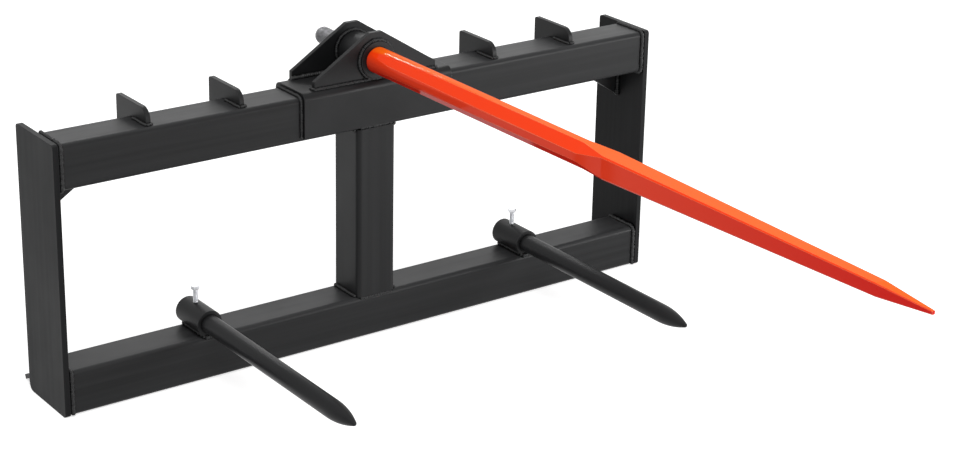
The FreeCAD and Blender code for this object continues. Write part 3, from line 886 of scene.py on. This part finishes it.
@dataclass
class SpearMount(Assembly):
    """The saddle, the two house-shaped plates and the sleeve."""

    nodes: tuple[str, ...] = (
        "saddle", "front_spear_plate", "rear_spear_plate", "spear_sleeve")
    end_leg: float = 5.5 * MM
    end_lift: float = 0.9 * MM
    foot_leg: float = 5.0 * MM
    rear_leg: float = 8.0 * MM
    rear_inset: float = 2.0 * MM
    rear_drop: float = 4.5 * MM
    ring_leg: float = 5.5 * MM

    def dress(self) -> None:
        """Coat the CAD nodes of the mount and lay its seams."""
        for name in self.nodes:
            self.shop.coat(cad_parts[name], self.shop.plate)
        for side, sign in SIDES:
            self.close_saddle_end(side, sign)
        self.seat_plates()
        self.ring_sleeve()

    def close_saddle_end(self, side: str, sign: int) -> None:
        """Weld one end of the saddle over the top tube and down its front.

        Args:
            side: Which end, left or right.
            sign: Its side of the part along X.
        """
        low, high = corners("saddle")
        tube_low, tube_high = corners("top_tube")
        lift, bend = self.end_lift, self.tube_corner
        x = (low.x if sign < 0 else high.x) + sign * self.end_leg * 0.3
        upper = tube_high.z - bend
        path = arc(x, (tube_high.y - bend, upper), bend + lift, 10, 90)
        path += arc(x, (tube_low.y + bend, upper), bend + lift, 90, 180)
        path.append(Vector((x, tube_low.y - lift, low.z + self.end_leg / 2)))
        self.bead(side + "_saddle_weld", self.end_leg, path)

    def seat_plates(self) -> None:
        """Weld the feet of the two plates to the saddle."""
        top = corners("saddle")[1].z
        low, high = corners("front_spear_plate")
        reach = self.foot_leg * 0.3
        front, back, level = low.y - reach, high.y + reach, top + reach * 0.6
        path = [
            Vector((low.x - reach, back, level)), Vector((low.x - reach, front, level)),
            Vector((high.x + reach, front, level)), Vector((high.x + reach, back, level)),
            Vector((low.x - reach, back, level))]
        self.bead("front_plate_weld", self.foot_leg, path)
        low, high = corners("rear_spear_plate")
        reach = self.rear_leg * 0.3
        inside = [
            Vector((low.x, low.y - reach, top + reach * 0.5)),
            Vector((high.x, low.y - reach, top + reach * 0.5))]
        self.bead("rear_plate_inner_weld", self.rear_leg, inside)
        y, z = high.y - self.rear_inset, low.z - self.rear_drop
        outside = [Vector((low.x, y, z)), Vector((high.x, y, z))]
        self.bead("rear_plate_outer_weld", self.rear_leg, outside)

    def ring_sleeve(self) -> None:
        """Weld the sleeve into both plates from both sides."""
        low, high = corners("spear_sleeve")
        radius = (high.x - low.x) / 2 + self.ring_leg * 0.3
        reach = self.ring_leg * 0.3
        for name in ("front", "rear"):
            plate_low, plate_high = corners(name + "_spear_plate")
            for face, y in (("outer", plate_low.y - reach), ("inner", plate_high.y + reach)):
                centre = Vector((0, y, (low.z + high.z) / 2))
                bead = "%s_plate_%s_ring_weld" % (name, face)
                self.bead(bead, self.ring_leg, ring(centre, radius))


@dataclass(frozen=True)
class Thread:
    """A screw thread: a sharp ridge that winds round an axis."""

    radius: float
    height: float
    pitch: float
    length: float
    steps: int = 20

    def ridge(self, name: str) -> bpy.types.Object:
        """Model the ridge round the Z axis, from the origin upwards.

        Args:
            name: The ridge's name.

        Returns:
            The ridge.
        """
        rest_bench()
        quarter = math.radians(90)
        bpy.ops.mesh.primitive_circle_add(
            vertices=3, radius=self.pitch * 0.5, location=(self.radius, 0, 0),
            rotation=(quarter, quarter, 0))
        ridge = bpy.context.object
        ridge.name = name
        bpy.ops.object.mode_set(mode="EDIT")
        bpy.ops.mesh.select_all(action="SELECT")
        # The triangle's circle is half a pitch in radius, so it is 0.75 of a pitch high.
        bpy.ops.transform.resize(value=(self.height / (self.pitch * 0.75), 1.0, 1.0))
        bpy.ops.object.mode_set(mode="OBJECT")
        bpy.ops.object.transform_apply(location=True, rotation=True, scale=True)
        turns = ridge.modifiers.new("turns", "SCREW")
        turns.axis = "Z"
        turns.screw_offset = self.pitch
        turns.iterations = max(1, int(self.length / self.pitch))
        turns.steps = turns.render_steps = self.steps
        turns.use_merge_vertices = True
        settle(ridge)
        bpy.ops.object.mode_set(mode="EDIT")
        bpy.ops.mesh.select_all(action="SELECT")
        bpy.ops.mesh.fill_holes(sides=3)
        bpy.ops.mesh.normals_make_consistent(inside=False)
        bpy.ops.object.mode_set(mode="OBJECT")
        return ridge


@dataclass
class Spears(Assembly):
    """The forged spear with its nut, and the two stabilizers in their collars."""

    collar_leg: float = 7.0 * MM
    tail_core: float = 14.0 * MM
    tail_plain: float = 3.0 * MM
    tail_pitch: float = 3.0 * MM
    tail_ridge: float = 1.3 * MM
    bolt_core: float = 3.45 * MM
    bolt_pitch: float = 1.25 * MM
    bolt_ridge: float = 0.75 * MM
    bolt_lead: float = 1.0 * MM
    bolt_plain: float = 3.0 * MM
    bolt_chamfer: float = 0.8 * MM
    head_height: float = 5.5 * MM
    head_flats: float = 13.0 * MM
    head_land: float = 1.2 * MM
    head_round: float = 0.7 * MM
    face_height: float = 0.8 * MM
    face_overlap: float = 0.3 * MM
    turns: tuple[tuple[str, float], ...] = (("left", 20.0), ("right", 65.0))

    def dress(self) -> None:
        """Coat the CAD nodes of the spears and fit their small pieces."""
        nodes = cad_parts
        self.shop.coat(nodes["main_spear"], self.shop.spear)
        for name in ("spear_nut", "spear_washer"):
            self.shop.coat(nodes[name], self.shop.steel)
        self.thread_tail()
        bolt = self.make_bolt()
        for side, turn in self.turns:
            self.shop.coat(nodes[side + "_collar"], self.shop.plate)
            self.shop.coat(nodes[side + "_stabilizer"], self.shop.rod)
            self.seat_collar(side)
            self.place_bolt(side, turn, bolt)
        bpy.data.objects.remove(bolt)

    def thread_tail(self) -> None:
        """Cut the thread on the spear's tail, behind the nut."""
        nut_low, nut_high = corners("spear_nut")
        spear_low, spear_high = corners("main_spear")
        tail = (nut_high.z + nut_low.z) / 2
        start, stop = nut_high.y, spear_high.y - self.tail_plain
        radius = self.tail_core + self.tail_ridge * 0.25
        ridge = Thread(
            radius, self.tail_ridge, self.tail_pitch, stop - start - self.tail_pitch,
        ).ridge("spear_tail_thread")
        ridge.matrix_world = (
            Matrix.Translation((0, start + self.tail_pitch / 2, tail))
            @ Matrix.Rotation(math.radians(-90), 4, "X"))
        settle(ridge)
        self.shop.coat(ridge, self.shop.steel)
        fit_out(ridge)

    def make_bolt(self) -> bpy.types.Object:
        """Model a set bolt that stands on the origin, head up.

        Returns:
            The bolt.
        """
        low, high = corners("left_set_bolt")
        tall = high.z - low.z
        neck = tall - self.head_height
        rest_bench()
        bpy.ops.mesh.primitive_cylinder_add(
            vertices=6, radius=self.head_flats / math.sqrt(3), depth=self.head_height,
            location=(0, 0, neck + self.head_height / 2))
        head = bpy.context.object
        choose_faces(head, lambda centre, normal: normal.z > 0.9)
        bpy.ops.mesh.inset(thickness=self.head_land)
        bpy.ops.object.mode_set(mode="OBJECT")
        rounding = head.modifiers.new("rounding", "BEVEL")
        rounding.width, rounding.segments = self.head_round, 3
        settle(head)
        rest_bench()
        bpy.ops.mesh.primitive_cylinder_add(
            vertices=32, radius=self.head_flats * 0.47, depth=self.face_height,
            location=(0, 0, neck - self.face_overlap))
        face = settle(bpy.context.object)
        rest_bench()
        bpy.ops.mesh.primitive_cylinder_add(
            vertices=24, radius=self.bolt_core, depth=neck, location=(0, 0, neck / 2))
        shank = bpy.context.object
        choose_faces(shank, lambda centre, normal: normal.z < -0.9)
        bpy.ops.mesh.bevel(offset=self.bolt_chamfer, segments=1)
        bpy.ops.object.mode_set(mode="OBJECT")
        settle(shank)
        ridge = Thread(
            self.bolt_core + self.bolt_ridge * 0.25, self.bolt_ridge, self.bolt_pitch,
            neck - self.bolt_plain, 14).ridge("ridge")
        ridge.matrix_world = Matrix.Translation((0, 0, self.bolt_lead))
        settle(ridge)
        return join_pieces("bolt", [head, face, shank, ridge])

    def place_bolt(self, side: str, turn: float, bolt: bpy.types.Object) -> None:
        """Put a copy of the set bolt in one collar.

        Args:
            side: Which collar, left or right.
            turn: How far the bolt is screwed round, in degrees.
            bolt: The bolt to copy.
        """
        node = side + "_set_bolt"
        low, high = corners(node)
        copy = bolt.copy()
        copy.data = bolt.data.copy()
        copy.name = side + "_hex_bolt"
        bpy.context.collection.objects.link(copy)
        middle = (low + high) / 2
        spin = Matrix.Rotation(math.radians(turn), 4, "Z")
        copy.matrix_world = Matrix.Translation((middle.x, middle.y, low.z)) @ spin
        settle(copy)
        self.shop.coat(copy, self.shop.zinc)
        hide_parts(node)
        fit_out(copy)

    def seat_collar(self, side: str) -> None:
        """Weld one collar to the bottom tube along both sides and round its front.

        Args:
            side: Which collar, left or right.
        """
        low, high = corners(side + "_collar")
        middle, leg = (low.x + high.x) / 2, self.collar_leg
        half = (high.x - low.x) / 4
        level, drop = low.z + leg * 0.3, low.z - leg * 0.05
        back, front = high.y - leg, low.y + leg
        path = [
            Vector((middle - half, back, level)), Vector((middle - half, front, level)),
            Vector((middle - half * 0.6, low.y, drop)),
            Vector((middle + half * 0.6, low.y, drop)),
            Vector((middle + half, front, level)), Vector((middle + half, back, level))]
        self.bead(side + "_collar_weld", leg, path)


# -------------------------------------------------------------------------- studio


@dataclass(frozen=True)
class Lamp:
    """A soft rectangular lamp that points at the part."""

    name: str
    place: tuple[float, float, float]
    size: tuple[float, float]
    power: float
    target: tuple[float, float, float] = (0.0, -0.3, 0.0)

    def hang(self) -> None:
        """Add the lamp to the scene."""
        data = bpy.data.lights.new(self.name, "AREA")
        data.shape = "RECTANGLE"
        data.size, data.size_y = self.size
        data.energy = self.power
        lamp = bpy.data.objects.new(self.name, data)
        bpy.context.collection.objects.link(lamp)
        aim = Vector(self.target) - Vector(self.place)
        turn = aim.to_track_quat("-Z", "Y").to_matrix().to_4x4()
        lamp.matrix_world = Matrix.Translation(self.place) @ turn


@dataclass
class Studio:
    """The camera, the pale floor, the world and the lamps."""

    place: tuple[float, float, float] = (-1.914, -2.9822, 1.3434)
    azimuth: float = -37.01
    elevation: float = 19.93
    roll: float = 1.48
    lens: float = 81.1
    shift: tuple[float, float] = (-0.024, -0.060)
    floor_white: float = 0.80
    floor_glow: float = 0.55
    world_light: float = 0.55
    lamps: tuple[Lamp, ...] = (
        Lamp("key", (-1.9, -2.3, 5.0), (3.6, 3.6), 150.0),
        Lamp("fill", (1.9, -2.3, 0.4), (1.6, 1.0), 50.0),
        Lamp("back", (2.2, 3.4, 1.8), (5.0, 1.6), 10.0),
        Lamp("strip", (1.35, 2.4, 2.2), (1.8, 0.04), 12.0),
    )

    def set_camera(self) -> None:
        """Make the camera."""
        data = bpy.data.cameras.new("camera")
        data.sensor_width = 36.0
        data.lens = self.lens
        data.shift_x, data.shift_y = self.shift
        data.clip_end = 100.0
        camera = bpy.data.objects.new("camera", data)
        bpy.context.collection.objects.link(camera)
        turn, rise, roll = (math.radians(v) for v in (self.azimuth, self.elevation, self.roll))
        back = Vector((
            math.sin(turn) * math.cos(rise), -math.cos(turn) * math.cos(rise), math.sin(rise)))
        right = Vector((math.cos(turn), math.sin(turn), 0))
        up = back.cross(right)
        level = Matrix((right, up, back)).transposed().to_4x4()
        spin = Matrix.Rotation(roll, 4, "Z")
        camera.matrix_world = Matrix.Translation(self.place) @ level @ spin
        bpy.context.scene.camera = camera

    def white_rays(self, tree: bpy.types.NodeTree) -> bpy.types.NodeSocket:
        """Return a value that is one where a backdrop is seen or mirrored.

        Args:
            tree: The node tree of the backdrop.

        Returns:
            The value's socket.
        """
        rays = tree.nodes.new("ShaderNodeLightPath")
        seen = rays.outputs["Is Camera Ray"]
        for name in ("Is Glossy Ray", "Is Transmission Ray"):
            either = tree.nodes.new("ShaderNodeMath")
            either.operation = "MAXIMUM"
            tree.links.new(seen, either.inputs[0])
            tree.links.new(rays.outputs[name], either.inputs[1])
            seen = either.outputs[0]
        return seen

    def set_floor(self) -> None:
        """Make the pale floor that the part stands on."""
        rest_bench()
        bpy.ops.mesh.primitive_plane_add(size=40.0, location=(0, 0, CAD_BOX[0][2]))
        floor = bpy.context.object
        floor.name = "floor"
        graph = Graph("floor_white")
        seen = self.white_rays(graph.tree)
        white = (self.floor_white,) * 3 + (1.0,)
        plain = graph.node("BsdfDiffuse", {"Color": white})
        glow = graph.node("Emission", {"Color": (1.0, 1.0, 1.0, 1.0)})
        graph.link(graph.maths("MULTIPLY", seen, self.floor_glow), glow.inputs["Strength"])
        both = graph.node("AddShader")
        graph.link(plain.outputs[0], both.inputs[0])
        graph.link(glow.outputs[0], both.inputs[1])
        floor.data.materials.append(graph.finish(both))

    def set_world(self) -> None:
        """Make the white world."""
        world = bpy.data.worlds.new("studio")
        bpy.context.scene.world = world
        world.use_nodes = True
        tree = world.node_tree
        tree.nodes.clear()
        output = tree.nodes.new("ShaderNodeOutputWorld")
        blend = tree.nodes.new("ShaderNodeMixShader")
        tree.links.new(self.white_rays(tree), blend.inputs[0])
        for number, strength in ((1, self.world_light), (2, 1.0)):
            sky = tree.nodes.new("ShaderNodeBackground")
            sky.inputs["Color"].default_value = (1.0, 1.0, 1.0, 1.0)
            sky.inputs["Strength"].default_value = strength
            tree.links.new(sky.outputs[0], blend.inputs[number])
        tree.links.new(blend.outputs[0], output.inputs["Surface"])

    def set_up(self) -> None:
        """Set up the whole studio."""
        scene = bpy.context.scene
        scene.view_settings.view_transform = "Standard"
        self.set_camera()
        self.set_floor()
        self.set_world()
        for lamp in self.lamps:
            lamp.hang()


# ---------------------------------------------------------------------------- main


def main() -> None:
    """Dress the part and set up the studio."""
    logging.basicConfig(level=logging.INFO)
    shop = PaintShop()
    for assembly in (WeldedFrame(shop), SpearMount(shop), Spears(shop)):
        assembly.dress()
        LOG.info("dressed %s", type(assembly).__name__)
    Studio().set_up()


if __name__ == "__main__":
    main()
